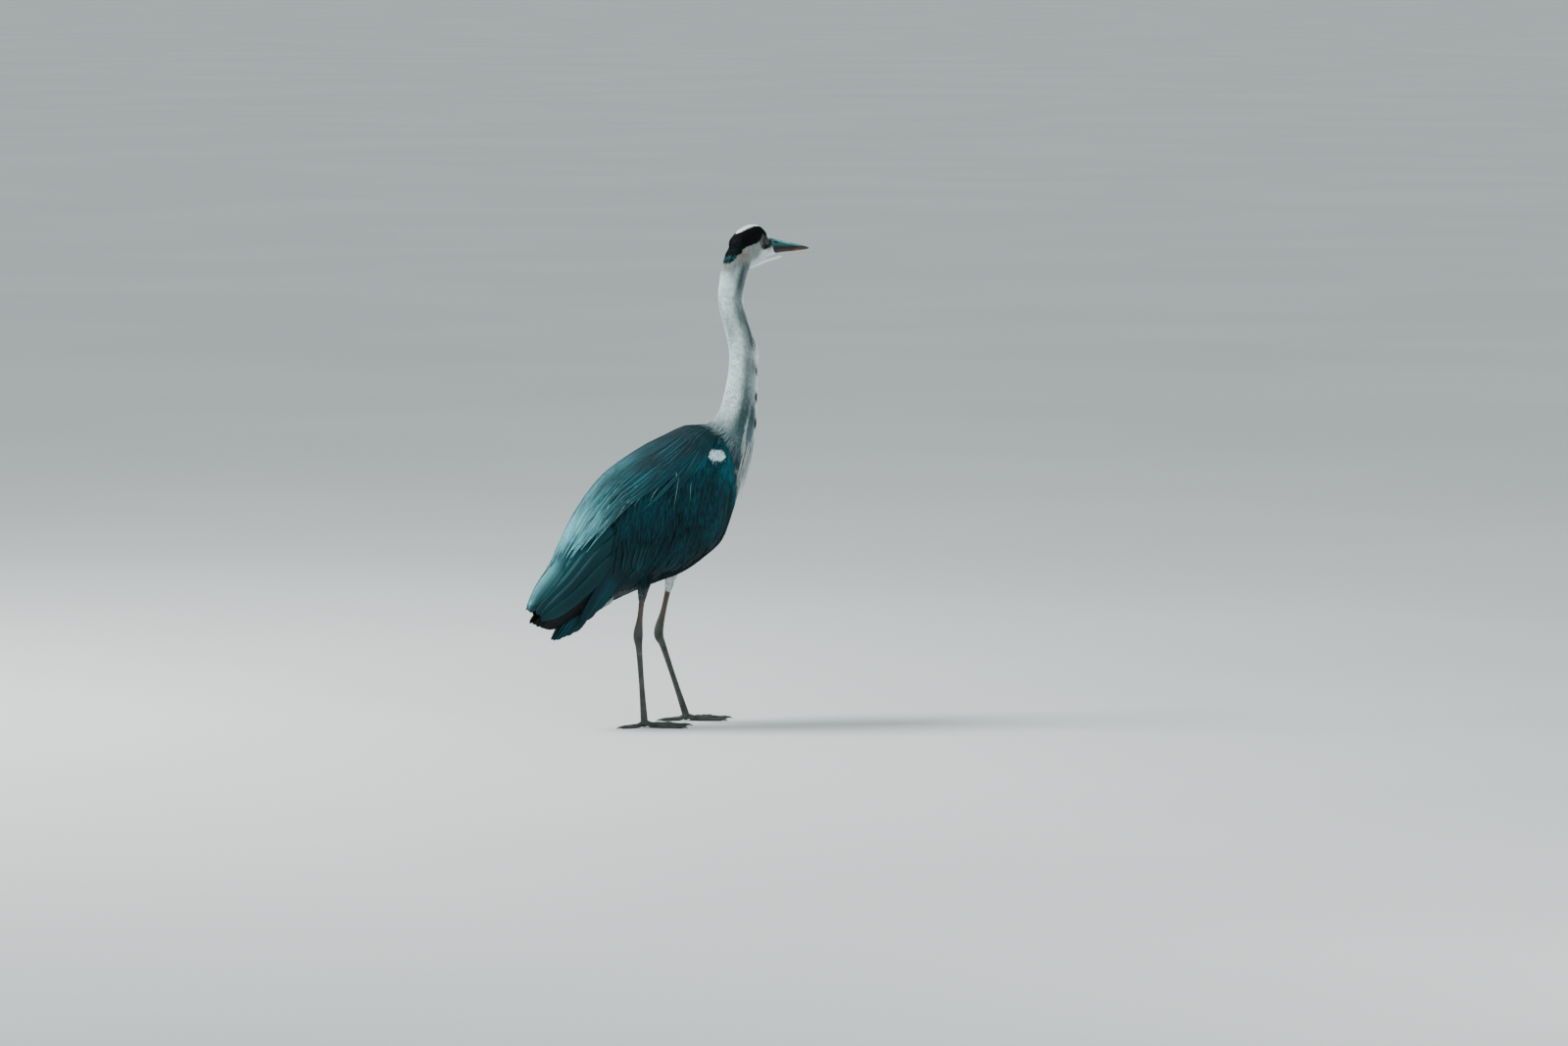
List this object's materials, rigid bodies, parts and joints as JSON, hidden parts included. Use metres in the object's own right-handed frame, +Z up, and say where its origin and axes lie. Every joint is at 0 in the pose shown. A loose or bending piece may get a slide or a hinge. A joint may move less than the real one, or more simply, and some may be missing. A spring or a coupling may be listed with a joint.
{
  "type": "grey heron",
  "caption": "Life-size standing grey heron, neck raised and head turned, with folded wings, plumes, long legs and spread toes; a still display model.",
  "frame": {"origin": "on the floor, under the middle of the bird's outline", "axes": "+X ahead of the bird, +Y to its left, +Z up"},
  "size_m": [0.5408, 0.1602, 0.8744],
  "materials": {
    "slate_feathers": "dull slate-blue feathers with paler edges",
    "pale_feathers": "soft greyish-white feathers",
    "bill_horn": "smooth grey-green horn",
    "bill_horn_under": "smooth yellowish-brown horn",
    "eye": "wet and glossy, pale yellow iris",
    "leg_skin": "scaled grey-brown skin",
    "claw_horn": "dark worn horn"
  },
  "bodies": {
    "root": {"head": "pale_feathers", "bill_upper": "bill_horn", "bill_lower": "bill_horn_under", "eye_left": "eye", "eye_right": "eye", "neck_upper": "pale_feathers", "neck_middle": "pale_feathers", "neck_lower": "pale_feathers", "neck_base": "pale_feathers", "torso": "pale_feathers", "mantle": "slate_feathers", "wing_left": "slate_feathers", "wing_right": "slate_feathers", "tail": "slate_feathers", "thigh_left": "pale_feathers", "thigh_right": "pale_feathers", "shank_left": "leg_skin", "shank_right": "leg_skin", "tarsus_left": "leg_skin", "tarsus_right": "leg_skin", "foot_left": "leg_skin", "toe_left_inner": "leg_skin", "toe_left_middle": "leg_skin", "toe_left_outer": "leg_skin", "toe_left_hind": "leg_skin", "foot_right": "leg_skin", "toe_right_inner": "leg_skin", "toe_right_middle": "leg_skin", "toe_right_outer": "leg_skin", "toe_right_hind": "leg_skin", "claw_left_inner": "claw_horn", "claw_left_middle": "claw_horn", "claw_left_outer": "claw_horn", "claw_left_hind": "claw_horn", "claw_right_inner": "claw_horn", "claw_right_middle": "claw_horn", "claw_right_outer": "claw_horn", "claw_right_hind": "claw_horn"}
  },
  "joints": []
}
